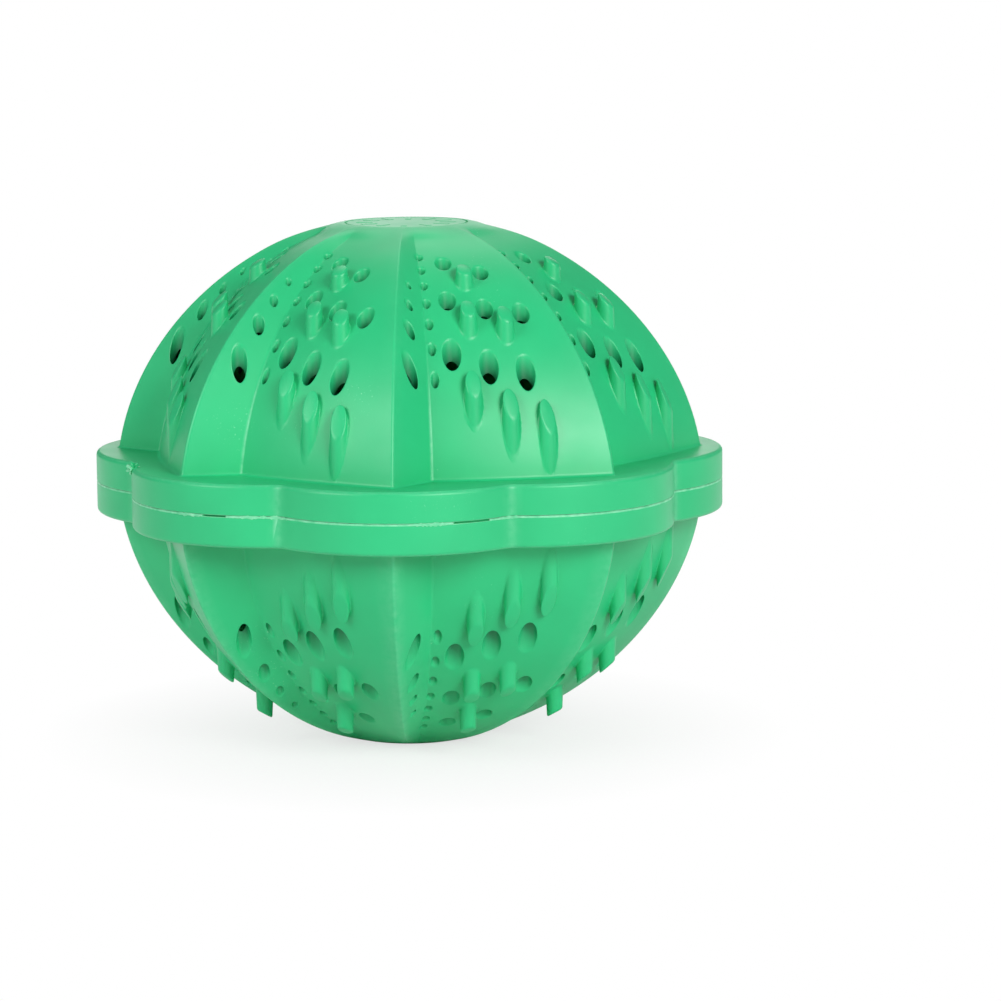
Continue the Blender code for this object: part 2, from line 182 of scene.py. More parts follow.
# Holes and pegs of the wide panel, in rows from the crown down: how many stand in a row, how far in from the
# ridge's radius the first and the further ones lie, and a hole's diameter or a peg's upper and lower stand.
# Then the fine line of holes beside the valley, and the narrow panel's holes: distance in and diameter.
COLUMN_PITCH = 6.4 * MM
FIRST_HOLE_COLUMN = 4.4 * MM
FIRST_PEG_COLUMN = 7.7 * MM
HOLE_COLUMNS = (2, 3, 3)
HOLE_ROWS = (
    (30.5 * MM, 28.8 * MM, 2.8 * MM),
    (23.4 * MM, 22.3 * MM, 3.0 * MM),
    (16.3 * MM, 15.2 * MM, 3.3 * MM),
)
PEG_COLUMNS = (1, 2, 3)
PEG_ROWS = (
    (26.4 * MM, 26.4 * MM, 2.6 * MM, 4.0 * MM),
    (19.5 * MM, 19.2 * MM, 3.4 * MM, 3.7 * MM),
    (11.9 * MM, 10.9 * MM, 3.6 * MM, 3.6 * MM),
)
FINE_HOLES = 7
FINE_HOLE_DIAMETER = 1.4 * MM
FINE_HOLE_INSET = 32.05 * MM
FINE_HOLE_PITCH = 3.02 * MM
FINE_HOLE_ACROSS = 0.2 * MM
FINE_HOLE_DRIFT = 0.17 * MM
NARROW_HOLES = ((11.9 * MM, 2.7 * MM), (16.7 * MM, 2.0 * MM), (20.5 * MM, 1.4 * MM), (24.1 * MM, 1.0 * MM))
NARROW_HOLE_TURN = math.radians(3.5)

# Section of a hole: distance outside its radius, and height over the wall, both in millimetres. The bottom's
# depth only marks its points until they are placed.
HOLE_RIM = ((0.30, 1.2), (0.30, 0.03), (0.14, -0.04), (0.04, -0.14), (0.0, -0.34))
HOLE_BOTTOM = -100 * MM
HOLE_TAPER = 0.72
LOWER_HOLE_LEAN = 0.5
HOLE_SIDES = ((2.5 * MM, 24), (1.6 * MM, 16), (0.0, 12))

# Shade inside the holes: depths at which it starts and is full, the share of the colour that it leaves, how
# strong it is in the lower half, and how level a face may be to count as a hole's wall
BORE_SHADE_START = 0.3 * MM
BORE_SHADE_END = 6.0 * MM
BORE_COLOUR_LEFT = 0.10
LOWER_BORE_SHADE = 0.6
BORE_LEVELNESS = 0.3

# Section of a peg in millimetres: its foot over the wall, and its top under the slanted face. The top's mark
# only sets its points apart until they are placed.
PEG_RADIUS = 1.4 * MM
PEG_FOOT = ((2.0, -0.45), (1.82, -0.02), (1.66, 0.16), (1.56, 0.45))
PEG_TOP = ((1.43, -0.55), (1.41, -0.32), (1.31, -0.12), (1.10, 0.0))
PEG_TOP_MARK = 10 * MM
PEG_FACE_EASE = math.radians(9.0)
PEG_SIDES = 24

BEAD_LUMP_WAVE = 1.6
MERGE_DISTANCE = 0.001 * MM
SHARP_ANGLE = math.radians(40.0)

# Finish of the plastic: scale and detail of each noise, and the values where its pattern starts and is full
MOTTLE_NOISE = (55.0, 3.0)
MOTTLE_RANGE = (0.35, 0.70)
MOTTLE_SHADES = (0.94, 1.04)
PALE_BREAK_NOISE = (700.0, 3.0)
PALE_BREAK_RANGE = (0.15, 0.65)
SPECK_NOISE = (2600.0, 2.0)
SPECK_RANGE = (0.66, 0.78)
SPECK_PATCH_NOISE = (60.0, 2.0)
SPECK_PATCH_RANGE = (0.60, 0.82)
SHEEN_NOISE = (130.0, 4.0)
SHEEN_SPREAD = (-0.05, 0.10)
GRAIN_NOISE = (900.0, 5.0)
GRAIN_STRENGTH = 0.10
GRAIN_DEPTH = 0.03 * MM
PLASTIC_IOR = 1.49

# Finish of the clay
CLAY_MOTTLE_NOISE = (480.0, 4.0)
CLAY_MOTTLE_RANGE = (0.35, 0.65)
CLAY_MOTTLE_SHADES = (0.82, 1.12)
CLAY_SPECK_NOISE = (2600.0, 2.0)
CLAY_SPECK_RANGE = (0.66, 0.72)
CLAY_SPECK_SHADE = 0.45
CLAY_BUMP_STRENGTH = 0.25
CLAY_BUMP_DEPTH = 0.05 * MM
CLAY_ROUGHNESS = 0.62

# Lamps: name, turn from the front ridge, height over the parting plane, distance, size and power
LAMPS = (
    ("key_lamp", math.radians(37), math.radians(26), 1.10, 0.52, 8.4),
    ("fill_lamp", math.radians(-52), math.radians(28), 1.10, 0.52, 5.0),
    ("top_lamp", math.radians(180), math.radians(54), 1.00, 0.70, 2.2),
    ("back_lamp", math.radians(180), math.radians(10), 1.20, 0.66, 1.7),
)
WORLD_LIGHT = 0.15
WHITE = (1.0, 1.0, 1.0, 1.0)

# Floor, and the distances from its middle over which it turns plain white to the camera and to reflections
FLOOR_RADIUS = 3.0
FLOOR_SIDES = 64
FLOOR_COLOUR = (0.9, 0.9, 0.9, 1.0)
FLOOR_SEEN_WHITE = (-0.12, 0.07)
FLOOR_REFLECTED_WHITE = (0.07, 0.14)

# Photograph's side and the ball's centre in it, in pixels, and the camera's sensor, in millimetres
IMAGE_SIDE = 1001
BALL_COLUMN = 409.0
BALL_ROW = 476.5
SENSOR_WIDTH = 36.0
CAMERA_NEAR = 10 * MM


class LaundryBallShellSettings(bpy.types.PropertyGroup):
    """Colours and finish of the moulded shells."""

    colour: FloatVectorProperty(
        name="Plastic", description="Colour of the moulded plastic", subtype="COLOR", size=3,
        min=0.0, max=1.0, default=(0.022, 0.552, 0.212))
    # pale colour of the flash and specks, also painted along edges as highlights
    pale: FloatVectorProperty(
        name="Pale edge", description="Colour of thin edges, flash and scuffs", subtype="COLOR", size=3,
        min=0.0, max=1.0, default=(0.30, 0.80, 0.50))
    roughness: FloatProperty(
        name="Roughness", description="Roughness of the moulded surface", subtype="FACTOR",
        min=0.0, max=1.0, default=0.38)
    flash_ease: FloatProperty(
        name="Flash", description="How far the flash in the seam draws back at most", subtype="DISTANCE",
        unit="LENGTH", min=0.0, default=0.14 * MM)


class LaundryBallBeadSettings(bpy.types.PropertyGroup):
    """Surface of the ceramic beads."""

    lumps: FloatProperty(
        name="Unevenness", description="Height of the lumps on a hand-rolled bead", subtype="DISTANCE",
        unit="LENGTH", min=0.0, default=0.08 * MM)
    detail: IntProperty(
        name="Detail", description="Subdivisions of a bead's sphere", min=2, max=5, default=4)


class LaundryBallStageSettings(bpy.types.PropertyGroup):
    """Camera and light of the stage."""

    distance: FloatProperty(
        name="Distance", description="Distance of the camera from the ball's centre", subtype="DISTANCE",
        unit="LENGTH", min=0.1, default=0.738)
    turn: FloatProperty(
        name="Turn", description="Camera's turn from the front ridge", subtype="ANGLE",
        default=math.radians(3.04))
    height: FloatProperty(
        name="Height", description="Camera's angle over the parting plane", subtype="ANGLE",
        default=math.radians(8.25))
    roll: FloatProperty(
        name="Roll", description="Camera's turn about its own axis", subtype="ANGLE",
        default=math.radians(-0.63))
    lens: FloatProperty(
        name="Focal length", description="Camera's focal length in millimetres", min=10.0, default=144.5)


def chord_radius(turn, start, start_radius, end, end_radius):
    """Radius, at a turn about the axis, of the straight line between two polar points."""
    top = start_radius * end_radius * math.sin(end - start)
    return top / (start_radius * math.sin(turn - start) + end_radius * math.sin(end - turn))


def smooth_share(value, start, end):
    """Smooth rise from 0 at the start to 1 at the end."""
    share = min(max((value - start) / (end - start), 0.0), 1.0)
    return share * share * (3 - 2 * share)


def section_share(turn, inset):
    """Section radius over ridge radius where the flutes are full, with sharp ridges and valleys."""
    full = RIDGE_RADIUS - inset
    valley = full - VALLEY_DEPTH
    turn = turn % SECTOR_ANGLE
    if turn <= VALLEY_TURN:
        return chord_radius(turn, 0.0, full, VALLEY_TURN, valley) / full
    along = (turn - VALLEY_TURN) / (SECTOR_ANGLE - VALLEY_TURN)
    bulge = PANEL_BULGE * 4 * along * (1 - along)
    return (chord_radius(turn, VALLEY_TURN, valley, SECTOR_ANGLE, full) + bulge) / full


def flute_factor(turn, ridge, inset):
    """Section radius over ridge radius, with rounded ridges and valleys that fade towards the crown."""
    total = sum(weight for offset, weight in EDGE_SAMPLES)
    share = sum(weight * section_share(turn + offset * EDGE_TURN, inset) for offset, weight in EDGE_SAMPLES)
    share /= total
    return 1 - (1 - share) * smooth_share(ridge, FLUTE_START_RADIUS, FLUTE_FULL_RADIUS)


def ridge_height(radius, inset=0.0):
    """Height of the ridge profile over the parting plane at a radius."""
    share = min(radius / (RIDGE_RADIUS - inset), 1.0)
    return (DOME_RISE - inset) * (1 - share ** PROFILE_POWER) ** (1 / PROFILE_POWER)


def wall_height(x, y, inset=0.0):
    """Height of the fluted wall over the parting plane at a plan point."""
    radius = math.hypot(x, y)
    turn = math.atan2(y, x) - FRONT
    return ridge_height(radius / flute_factor(turn, radius, inset), inset)


def wall_steepness(place):
    """Fall of the wall for each unit outwards at a plan point."""
    reach = place.normalized() * PEG_RADIUS
    inner, outer = place - reach, place + reach
    return (wall_height(inner.x, inner.y) - wall_height(outer.x, outer.y)) / (2 * PEG_RADIUS)


def spread(start, end, steps):
    """Evenly spaced values after the start, up to and with the end."""
    return [start + (end - start) * step / steps for step in range(1, steps + 1)]


def column_turns():
    """Turns of one sector's columns, closer together over the ridge and the valley."""
    turns = [0.0, EDGE_TURN / 2, EDGE_TURN]
    turns += spread(EDGE_TURN, VALLEY_TURN - EDGE_TURN, NARROW_COLUMNS)
    turns += spread(VALLEY_TURN - EDGE_TURN, VALLEY_TURN + EDGE_TURN, VALLEY_COLUMNS)
    turns += spread(VALLEY_TURN + EDGE_TURN, SECTOR_ANGLE - EDGE_TURN, WIDE_COLUMNS)
    return turns + [SECTOR_ANGLE - EDGE_TURN / 2]


def revolve(bm, profile, sides):
    """Spin a profile about Z into a skin whose faces point outwards."""
    verts = [bm.verts.new((radius, 0, height)) for radius, height in profile]
    edges = [bm.edges.new(pair) for pair in zip(verts, verts[1:])]
    bmesh.ops.spin(bm, geom=verts + edges, cent=(0, 0, 0), axis=(0, 0, 1), angle=2 * math.pi,
                   steps=sides, use_merge=True)
    bmesh.ops.remove_doubles(bm, verts=bm.verts, dist=MERGE_DISTANCE)


def finish_solid(bm):
    """Close what is open and turn every face outwards."""
    rim = [edge for edge in bm.edges if edge.is_boundary]
    if rim:
        bmesh.ops.contextual_create(bm, geom=rim)
    bmesh.ops.recalc_face_normals(bm, faces=bm.faces)


def new_mesh(bm, name):
    """Mesh made from a bmesh, which is freed."""
    mesh = bpy.data.meshes.new(name)
    bm.to_mesh(mesh)
    bm.free()
    return mesh


def dome_profile(inset, base, rings, fillet):
    """Ridge radius and height of each ring, from the axis down to the base."""
    power = 2 / PROFILE_POWER
    reach, rise = RIDGE_RADIUS - inset, DOME_RISE - inset
    foot = FLANGE_THICKNESS + fillet if fillet else base
    top = math.asin(((CROWN_HEIGHT - inset) / rise) ** (1 / power))
    bottom = math.asin((foot / rise) ** (1 / power))
    angles = [top] + spread(top, bottom, rings)
    profile = [(0.0, CROWN_HEIGHT - inset), (crown_disc_radius(), CROWN_HEIGHT - inset)]
    profile += [(reach * math.cos(angle) ** power, rise * math.sin(angle) ** power) for angle in angles]
    if fillet:
        heights = [FLANGE_THICKNESS + fillet * share for share in FILLET_RINGS] + [base]
        last = profile[-1][0]
        profile += [(last + MERGE_DISTANCE * step, height) for step, height in enumerate(heights, 1)]
    return profile


def dome_solid(inset, base, rings, fillet=0.0):
    """Closed fluted dome from the base height up to its flat crown, filleted onto the flange."""
    turns = column_turns()
    sides = SECTORS * len(turns)
    bm = bmesh.new()
    revolve(bm, dome_profile(inset, base, rings, fillet), sides)
    for vert in bm.verts:
        radius = vert.co.xy.length
        if radius < 2 * MERGE_DISTANCE:
            continue
        column = round(math.atan2(vert.co.y, vert.co.x) / (2 * math.pi / sides)) % sides
        sector, step = divmod(column, len(turns))
        turn = turns[step]
        rise = min(max(vert.co.z - FLANGE_THICKNESS, 0.0), fillet)
        section = radius * flute_factor(turn, radius, inset)
        section += fillet - math.sqrt(fillet ** 2 - (fillet - rise) ** 2)
        angle = FRONT + sector * SECTOR_ANGLE + turn
        vert.co.x, vert.co.y = section * math.cos(angle), section * math.sin(angle)
    finish_solid(bm)
    return bm


def hollow_solid():
    """Hollow of one half, carried on past the parting plane."""
    base = FLANGE_THICKNESS / 2
    bm = dome_solid(WALL, base, INNER_RINGS)
    floor = [face for face in bm.faces if max(vert.co.z for vert in face.verts) < base + MERGE_DISTANCE]
    moved = bmesh.ops.extrude_face_region(bm, geom=floor)
    verts = [item for item in moved["geom"] if isinstance(item, bmesh.types.BMVert)]
    bmesh.ops.translate(bm, vec=(0, 0, -FLANGE_THICKNESS), verts=verts)
    bmesh.ops.delete(bm, geom=floor, context="FACES_ONLY")
    return bm


def lobe_radius(turn):
    """Outline of the flange: convex arcs centred on the ridges, joined by hollow fillets."""
    half = SECTOR_ANGLE / 2
    crease_x = FLANGE_CREASE_RADIUS * math.cos(half)
    centre = (FLANGE_RADIUS ** 2 - FLANGE_CREASE_RADIUS ** 2) / (2 * (FLANGE_RADIUS - crease_x))
    arc = FLANGE_RADIUS - centre
    reach = arc + FLANGE_CREASE_FILLET
    fillet = centre * math.cos(half) + math.sqrt(reach ** 2 - (centre * math.sin(half)) ** 2)
    touch = Vector((centre, 0)).lerp(Vector((fillet * math.cos(half), fillet * math.sin(half))), arc / reach)
    turn = abs((turn + half) % SECTOR_ANGLE - half)
    if turn < math.atan2(touch.y, touch.x):
        return centre * math.cos(turn) + math.sqrt(arc ** 2 - (centre * math.sin(turn)) ** 2)
    away = half - turn
    return fillet * math.cos(away) - math.sqrt(FLANGE_CREASE_FILLET ** 2 - (fillet * math.sin(away)) ** 2)


def lobed_slab(steps, low, high, inset=0.0):
    """Slab with the flange's outline, between two heights."""
    bm = bmesh.new()
    bmesh.ops.create_circle(bm, cap_ends=True, segments=SECTORS * steps, radius=FLANGE_RADIUS)
    for vert in bm.verts:
        angle = math.atan2(vert.co.y, vert.co.x)
        radius = lobe_radius(angle - FRONT) - inset
        vert.co = (radius * math.cos(angle), radius * math.sin(angle), low)
    moved = bmesh.ops.extrude_face_region(bm, geom=bm.faces[:])
    top = [item for item in moved["geom"] if isinstance(item, bmesh.types.BMVert)]
    bmesh.ops.translate(bm, vec=(0, 0, high - low), verts=top)
    bmesh.ops.recalc_face_normals(bm, faces=bm.faces)
    return bm


def round_rim(bm, height, width, segments):
    """Round the slab's edges that lie at a height."""
    rim = [edge for edge in bm.edges if all(abs(vert.co.z - height) < MERGE_DISTANCE for vert in edge.verts)]
    bmesh.ops.bevel(bm, geom=rim, offset=width, segments=segments, affect="EDGES", profile=0.5, material=-1)


def flange_solid():
    """Lobed slab of one half, rounded at its top rim and eased at the seam."""
    bm = lobed_slab(LOBE_STEPS, SEAM_GAP / 2, FLANGE_THICKNESS)
    round_rim(bm, FLANGE_THICKNESS, FLANGE_ROUND, FLANGE_ROUND_STEPS)
    round_rim(bm, SEAM_GAP / 2, SEAM_ROUND, SEAM_ROUND_STEPS)
    bmesh.ops.bisect_plane(bm, geom=bm.verts[:] + bm.edges[:] + bm.faces[:], plane_co=(0, 0, SEAM_PALE_REACH),
                           plane_no=(0, 0, 1))
    return bm


def stretch_at(turn, stretches):
    """The stretch that a turn lies in, or None."""
    return next((stretch for stretch in stretches if stretch[0] < turn < stretch[1]), None)


def flash_solid(ease):
    """Thin uneven ring of moulding flash that fills the seam of the lower half."""
    bm = bmesh.new()
    middle = FLANGE_RADIUS
    root, edge = middle - FLASH_WIDTH / 2, middle + FLASH_WIDTH / 2
    neck = (middle + edge) / 2
    revolve(bm, [(root, FLASH_FOOT), (edge, FLASH_FOOT), (edge, FLASH_TOP), (neck, FLASH_TOP),
                 (root, FLASH_TOP), (root, FLASH_FOOT)], FLASH_SIDES)
    for vert in bm.verts:
        turn = (math.atan2(vert.co.y, vert.co.x) - FRONT + math.pi) % (2 * math.pi) - math.pi
        reach = vert.co.xy.length
        inset = FLASH_ROOT_INSET
        if reach > middle:
            inset = place_flash(vert, turn, reach < (neck + edge) / 2, ease)
        radius = lobe_radius(turn) - inset
        vert.co.x, vert.co.y = radius * math.cos(turn + FRONT), radius * math.sin(turn + FRONT)
    bmesh.ops.recalc_face_normals(bm, faces=bm.faces)
    return bm


def place_flash(vert, turn, at_neck, ease):
    """Set the height of a point at the flash's neck or edge, and give its distance in from the flange."""
    spot = Vector((math.cos(turn), math.sin(turn), 0))
    above = math.copysign(1, vert.co.z)
    if above > 0:
        vert.co.z -= ease * FLASH_TOP_EASE * abs(noise.noise(spot * FLASH_TOP_WAVE))
    stretch = stretch_at(turn, BURR_STRETCHES)
    if stretch:
        if at_neck:
            return -BURR_PROUD
        start, end = stretch
        burr = BURR_HEIGHT * math.sin(math.pi * (turn - start) / (end - start))
        shift = Vector((0, 0, BURR_WAVE_SHIFT * above))
        vert.co.z += above * burr * abs(noise.noise(spot * BURR_WAVE + shift))
        return -BURR_PROUD - FLASH_NECK_STEP
    uneven = FLASH_LEAST_EASE + (1 - FLASH_LEAST_EASE) * abs(noise.noise(spot * FLASH_EASE_WAVE))
    inset = ease * uneven + (FLASH_NECK_STEP if at_neck else 0.0)
    return inset + FLASH_GAP_DEPTH if stretch_at(turn, FLASH_GAPS) else inset


def panel_point(sector, along, across):
    """Plan point at a distance along a sector's valley and across it, onto the wide panel."""
    angle = FRONT + sector * SECTOR_ANGLE + VALLEY_TURN
    return Matrix.Rotation(angle, 2) @ Vector((along, across))


def hole_places(sector):
    """Plan point and diameter of each hole in one sector."""
    places = []
    for columns, (first, further, diameter) in zip(HOLE_COLUMNS, HOLE_ROWS):
        for column in range(columns):
            along = RIDGE_RADIUS - (first if column == 0 else further)
            places.append((panel_point(sector, along, FIRST_HOLE_COLUMN + column * COLUMN_PITCH), diameter))
    for index in range(FINE_HOLES):
        along = RIDGE_RADIUS - FINE_HOLE_INSET + index * FINE_HOLE_PITCH
        across = FINE_HOLE_ACROSS + index * FINE_HOLE_DRIFT
        places.append((panel_point(sector, along, across), FINE_HOLE_DIAMETER))
    angle = FRONT + sector * SECTOR_ANGLE + NARROW_HOLE_TURN
    for inset, diameter in NARROW_HOLES:
        outward = Vector((math.cos(angle), math.sin(angle)))
        places.append((outward * (RIDGE_RADIUS - inset), diameter))
    return places


def peg_places(sector, side):
    """Plan point and stand of each peg in one sector of the upper or the lower half."""
    places = []
    for columns, (first, further, upper, lower) in zip(PEG_COLUMNS, PEG_ROWS):
        stand = upper if side > 0 else lower
        for column in range(columns):
            along = RIDGE_RADIUS - (first if column == 0 else further)
            places.append((panel_point(sector, along, FIRST_PEG_COLUMN + column * COLUMN_PITCH), stand))
    return places


def add_copy(bm, pattern):
    """Append a mesh and return its vertices."""
    start = len(bm.verts)
    bm.from_mesh(pattern)
    bm.verts.ensure_lookup_table()
    return bm.verts[start:]


def hole_pattern(diameter):
    """Cutter of one hole about Z, whose heights are measured from the wall."""
    bm = bmesh.new()
    profile = [(0.0, HOLE_RIM[0][1] * MM)]
    profile += [(diameter / 2 + beyond * MM, height * MM) for beyond, height in HOLE_RIM]
    profile += [(diameter / 2 * HOLE_TAPER, HOLE_BOTTOM), (0.0, HOLE_BOTTOM)]
    sides = next(sides for least, sides in HOLE_SIDES if diameter > least)
    revolve(bm, profile, sides)
    finish_solid(bm)
    return new_mesh(bm, "hole_pattern")


def hole_cutters(side):
    """Hole cutters through the wall, their rims draped over it; those of the lower half lean outwards."""
    bm = bmesh.new()
    patterns = {}
    for sector in range(SECTORS):
        for place, diameter in hole_places(sector):
            if diameter not in patterns:
                patterns[diameter] = hole_pattern(diameter)
            far = place + place.normalized() * diameter / 2
            low = max(wall_height(far.x, far.y, WALL) - WALL, FLANGE_THICKNESS + WALL / 2)
            for vert in add_copy(bm, patterns[diameter]):
                vert.co.x += place.x
                vert.co.y += place.y
                if vert.co.z < HOLE_BOTTOM / 2:
                    vert.co.z = low
                    if side < 0:
                        vert.co += place.normalized().to_3d() * diameter * LOWER_HOLE_LEAN
                else:
                    vert.co.z += wall_height(vert.co.x, vert.co.y)
    for pattern in patterns.values():
        bpy.data.meshes.remove(pattern)
    return bm


def peg_solids(side):
    """Upright pegs, each filleted onto the wall and rounded at its slanted face."""
    bm = bmesh.new()
    profile = [(0.0, PEG_FOOT[0][1] * MM)]
    profile += [(radius * MM, height * MM) for radius, height in PEG_FOOT]
    profile += [(radius * MM, PEG_TOP_MARK + height * MM) for radius, height in PEG_TOP]
    profile += [(0.0, PEG_TOP_MARK)]
    revolve(bm, profile, PEG_SIDES)
    finish_solid(bm)
    pattern = new_mesh(bm, "peg_pattern")
    bm = bmesh.new()
    for sector in range(SECTORS):
        for place, stand in peg_places(sector, side):
            lean = math.tan(math.atan(wall_steepness(place)) - PEG_FACE_EASE)
            middle = wall_height(place.x, place.y) + stand
            outward = place.normalized()
            for vert in add_copy(bm, pattern):
                beyond = vert.co.xy.dot(outward)
                vert.co.x += place.x
                vert.co.y += place.y
                if vert.co.z > PEG_TOP_MARK / 2:
                    vert.co.z += middle - lean * beyond - PEG_TOP_MARK
                else:
                    vert.co.z += wall_height(vert.co.x, vert.co.y)
    bpy.data.meshes.remove(pattern)
    return bm


def crown_disc_radius():
    """Radius of the groove around the crown disc."""
    share = (CROWN_HEIGHT / DOME_RISE) ** PROFILE_POWER
    return RIDGE_RADIUS * (1 - share) ** (1 / PROFILE_POWER) - CROWN_RIM


def crown_groove():
    """Ring-shaped cutter of the fine groove around the crown disc."""
    half = CROWN_GROOVE_WIDTH / 2
    deep = CROWN_GROOVE_DEPTH
    shoulder = deep * CROWN_GROOVE_SHOULDER
    profile = ((-half, deep), (-half, 0.0), (-half / 2, -shoulder), (0.0, -deep), (half / 2, -shoulder),
               (half, 0.0), (half, deep), (-half, deep))
    bm = bmesh.new()
    revolve(bm, [(crown_disc_radius() + out, CROWN_HEIGHT + up) for out, up in profile], CROWN_GROOVE_SIDES)
    bmesh.ops.recalc_face_normals(bm, faces=bm.faces)
    return bm


def crown_bars():
    """Ring of plain raised bars on the crown disc."""
    bm = bmesh.new()
    length, width, height = CROWN_BAR_SIZE
    for index in range(CROWN_BARS):
        place = Matrix.Rotation(2 * math.pi * index / CROWN_BARS, 4, "Z") @ Matrix.Translation(
            (crown_disc_radius() - CROWN_BAR_INSET, 0, CROWN_HEIGHT))
        bmesh.ops.create_cube(bm, size=1, matrix=place @ Matrix.Diagonal((length, width, 2 * height, 1)))
    bmesh.ops.bevel(bm, geom=bm.edges[:], offset=CROWN_BAR_ROUND, segments=CROWN_BAR_ROUND_STEPS,
                    affect="EDGES", profile=0.5, material=-1)
    return bm


def rim_lump():
    """Rough lump of plastic left on the rim of the upper flange."""
    bm = bmesh.new()
    bmesh.ops.create_icosphere(bm, subdivisions=LUMP_DETAIL, radius=LUMP_RADIUS)
    for vert in bm.verts:
        vert.co *= 1 + LUMP_ROUGHNESS * noise.noise(vert.co / LUMP_RADIUS * LUMP_WAVE)
    radius = lobe_radius(LUMP_TURN - FRONT) - LUMP_SUNK
    place = (radius * math.cos(LUMP_TURN), radius * math.sin(LUMP_TURN), FLANGE_THICKNESS - LUMP_SUNK)
    bmesh.ops.translate(bm, vec=place, verts=bm.verts)
    return bm


def flange_pins(radius, high, ease):
    """Round pins, or the sockets' hollows, on the pin circle, with an eased end."""
    low = -FLANGE_THICKNESS / 2
    bend = ease * PIN_EASE_BEND
    bm = bmesh.new()
    revolve(bm, [(0.0, high), (radius - ease, high), (radius - bend, high - bend),
                 (radius, high - ease), (radius, low), (0.0, low)], PIN_SIDES)
    finish_solid(bm)
    pattern = new_mesh(bm, "pin_pattern")
    bm = bmesh.new()
    circle = (RIDGE_RADIUS - WALL - VALLEY_DEPTH + lobe_radius(VALLEY_TURN)) / 2
    for sector in range(0, SECTORS, PIN_EVERY):
        angle = FRONT + sector * SECTOR_ANGLE + VALLEY_TURN
        verts = add_copy(bm, pattern)
        shift = Vector((math.cos(angle), math.sin(angle), 0)) * circle
        bmesh.ops.translate(bm, vec=shift, verts=verts)
    bpy.data.meshes.remove(pattern)
    return bm


def combine(name, first, steps):
    """First solid joined with, or cut by, the others in turn."""
    base = bpy.data.objects.new(name, new_mesh(first, name))
    bpy.context.scene.collection.objects.link(base)
    tools = []
    for operation, bm in steps:
        tool = bpy.data.objects.new("tool", new_mesh(bm, "tool"))
        bpy.context.scene.collection.objects.link(tool)
        modifier = base.modifiers.new("step", "BOOLEAN")
        modifier.operation = operation
        modifier.solver = "MANIFOLD"
        modifier.object = tool
        tools.append(tool)
    graph = bpy.context.evaluated_depsgraph_get()
    mesh = bpy.data.meshes.new_from_object(base.evaluated_get(graph))
    for obj in [base] + tools:
        old = obj.data
        bpy.data.objects.remove(obj)
        bpy.data.meshes.remove(old)
    if not mesh.polygons:
        raise RuntimeError(f"{name} came out empty")
    bm = bmesh.new()
    bm.from_mesh(mesh)
    bpy.data.meshes.remove(mesh)
    return bm


def shell_mesh(name, side, flash_ease):
    """Mesh of one half shell at its place; side -1 is the lower half."""
    steps = [
        ("UNION", dome_solid(0.0, FLANGE_THICKNESS / 2, OUTER_RINGS, FLANGE_FILLET)),
        ("DIFFERENCE", hollow_solid()),
        ("UNION", peg_solids(side)),
        ("DIFFERENCE", hole_cutters(side)),
        ("DIFFERENCE", crown_groove()),
    ]
    if side > 0:
        steps.append(("UNION", crown_bars()))
        steps.append(("UNION", rim_lump()))
        sockets = flange_pins(PIN_RADIUS + PIN_CLEARANCE, PIN_HEIGHT + SOCKET_END_GAP, 0.0)
        steps.append(("DIFFERENCE", sockets))
    bm = combine(name, flange_solid(), steps)
    if side > 0:
        for vert in bm.verts:
            away = smooth_share(vert.co.xy.length, SETTLE_START_RADIUS, SETTLE_END_RADIUS)
            vert.co.z -= UPPER_CROWN_SETTLE * (1 - away)
    else:
        bmesh.ops.scale(bm, vec=(1, 1, -1), verts=bm.verts)
        bmesh.ops.reverse_faces(bm, faces=bm.faces)
        bm = combine(name, bm, [
            ("UNION", flange_pins(PIN_RADIUS, PIN_HEIGHT, PIN_EASE)),
            ("UNION", flash_solid(flash_ease)),
        ])
    bmesh.ops.translate(bm, vec=(0, 0, SEAM_HEIGHT), verts=bm.verts)
    return new_mesh(bm, name)


def edge_paleness(place):
    """How pale the plastic is at a point, from 0 for its own colour to 1 for the pale colour: pale flash and
    seam line, and painted highlights on the flange's rim and creases and along ridges and valleys.
    """
    radius = place.xy.length
    height = abs(place.z - SEAM_HEIGHT)
    turn = (math.atan2(place.y, place.x) - FRONT) % SECTOR_ANGLE
    if height > FLANGE_THICKNESS + FLANGE_FILLET / 2:
        return dome_painted_highlight(place, radius, height, turn)
    out = lobe_radius(turn) - radius
    down = FLANGE_THICKNESS - height
    if out > FLANGE_ROUND:
        return 0.0
    if out < -BURR_PROUD:
        return FLASH_PALENESS
    # painted highlights on the flange's rounded top rim and at its creases, beside the pale seam line and
    # flash
    rim = RIM_PAINTED_HIGHLIGHT * (1 - abs(out - down) / RIM_PALE_REACH) if down < FLANGE_ROUND else 0.0
    seam = SEAM_PALENESS if out < SEAM_ROUND and height < (SEAM_GAP + SEAM_ROUND) / 2 else 0.0
    crease = CREASE_PAINTED_HIGHLIGHT * (1 - abs(turn - SECTOR_ANGLE / 2) * radius / CREASE_PALE_REACH)
    return max(rim, seam, crease, 0.0)


def dome_painted_highlight(place, radius, height, turn):
    """Painted highlight: how pale the wall is painted along its ridges and valleys."""
    if radius < FLUTE_START_RADIUS:
        return 0.0
    ridge = max(1 - min(turn, SECTOR_ANGLE - turn) * radius / RIDGE_PALE_REACH, 0.0)
    if place.z < SEAM_HEIGHT:
        return LOWER_RIDGE_PAINTED_HIGHLIGHT * ridge
    valley = max(1 - abs(turn - VALLEY_TURN) * radius / VALLEY_PALE_REACH, 0.0)
    low = 1 - smooth_share(height, VALLEY_PALE_START, VALLEY_PALE_END)
    return max(UPPER_RIDGE_PAINTED_HIGHLIGHT * ridge, VALLEY_PAINTED_HIGHLIGHT * valley * low)


